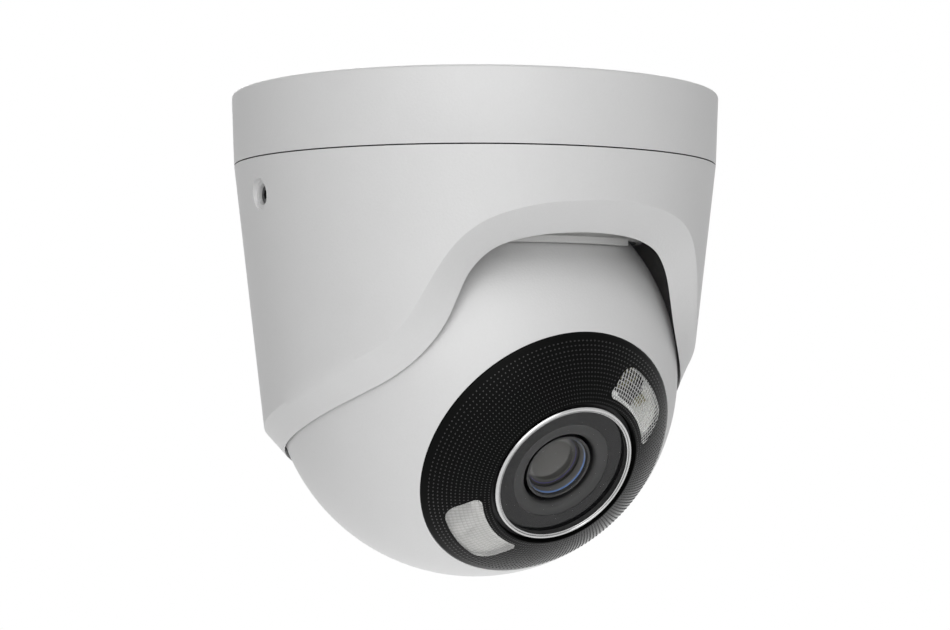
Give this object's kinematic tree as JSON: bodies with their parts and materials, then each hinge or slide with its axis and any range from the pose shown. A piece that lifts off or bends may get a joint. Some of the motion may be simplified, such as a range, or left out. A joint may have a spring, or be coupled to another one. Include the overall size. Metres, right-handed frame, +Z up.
{
  "type": "turret security camera",
  "caption": "Ceiling turret security camera: round base, arched shroud that pans, and a ball with a lens and two lights that tilts and rolls.",
  "frame": {"origin": "centre of the ceiling screw circle, on the face that meets the ceiling", "axes": "+Z up, out of the camera into the ceiling; -Y is the front, where the arch and the lens are; +X is to the right of someone who faces the camera's front"},
  "size_m": [0.11, 0.11, 0.1082],
  "materials": {
    "housing_paint": "fine textured pale grey-white paint on die-cast aluminium",
    "zinc_steel": "zinc-plated steel, satin",
    "dark_screw": "black-oxide steel",
    "foam": "closed-cell foam, matte",
    "black_rubber": "matte rubber",
    "white_acetal": "natural acetal",
    "light_plastic": "light grey moulded plastic",
    "grey_silicone": "silicone",
    "black_face": "satin black moulded plastic with raised dots",
    "clear_plastic": "clear polycarbonate with raised dots",
    "reflector": "bright white moulded plastic",
    "led_yellow": "phosphor light chips",
    "board_black": "black solder mask on glass-fibre board",
    "board_green": "green solder mask on glass-fibre board",
    "polished_ring": "polished",
    "window_glass": "coated front glass",
    "lens_glass": "coated optical glass",
    "black_matte": "stray-light black",
    "black_metal": "black anodised",
    "filter_glass": "thin coated filter glass",
    "copper_coil": "enamelled copper winding",
    "chip_black": "moulded chip package",
    "thermal_sheet": "soft thermal sheet",
    "bare_aluminium": "stamped sheet",
    "socket_steel": "tinned steel shell",
    "ribbon_white": "flat flexible cable"
  },
  "bodies": {
    "root": {"mounting_panel": "zinc_steel", "ceiling_gasket": "foam", "cable_grommet": "black_rubber", "base_housing": "housing_paint", "panel_screws": "zinc_steel", "pan_seal": "black_rubber"},
    "turret": {"shroud": "housing_paint", "lock_screws": "dark_screw", "clamp_ring": "light_plastic", "clamp_screws": "zinc_steel", "friction_ring": "grey_silicone", "friction_pads": "white_acetal"},
    "swivel": {"cable_swivel": "black_matte", "swivel_clip": "zinc_steel"},
    "ball": {"front_shell": "housing_paint", "rear_shell": "housing_paint", "shell_seal": "black_rubber", "shell_screws": "zinc_steel", "face_bezel": "black_face", "face_gasket": "black_rubber", "light_windows": "clear_plastic", "light_reflectors": "reflector", "light_leds": "led_yellow", "light_board": "board_black", "window_ring": "polished_ring", "window_glass": "window_glass", "lens_tube": "black_matte", "lens_barrel": "black_metal", "front_element": "lens_glass", "inner_element": "lens_glass", "rear_element": "lens_glass", "lens_retainer": "black_metal", "lens_lock_ring": "black_metal", "lens_holder": "black_matte", "filter_coil": "copper_coil", "sensor_board": "board_green", "image_sensor": "chip_black", "board_standoffs": "zinc_steel", "sensor_board_screws": "zinc_steel", "main_board": "board_green", "main_board_screws": "zinc_steel", "processor": "chip_black", "thermal_pad": "thermal_sheet", "heat_spreader": "bare_aluminium", "card_socket": "socket_steel", "memory_card": "chip_black", "ribbon_sockets": "white_acetal", "light_ribbon": "ribbon_white"},
    "filter": {"filter_carriage": "black_matte", "filter_glasses": "filter_glass"}
  },
  "joints": [
    {"name": "pan", "type": "hinge", "parent": "root", "child": "turret", "pos_m": [0, 0, -0.0211], "axis": [0, 0, 1], "range_deg": [-180, 180]},
    {"name": "tilt", "type": "hinge", "parent": "turret", "child": "swivel", "pos_m": [0, 0, -0.06236], "axis": [1, 0, 0], "range_deg": [-29, 49]},
    {"name": "roll", "type": "hinge", "parent": "swivel", "child": "ball", "pos_m": [0, 0, -0.06236], "axis": [0, -0.8721, -0.4894], "range_deg": [-180, 180]},
    {"name": "filter_slide", "type": "slide", "parent": "ball", "child": "filter", "axis": [1, 0, 0], "range_m": [0, 0.0068]}
  ]
}
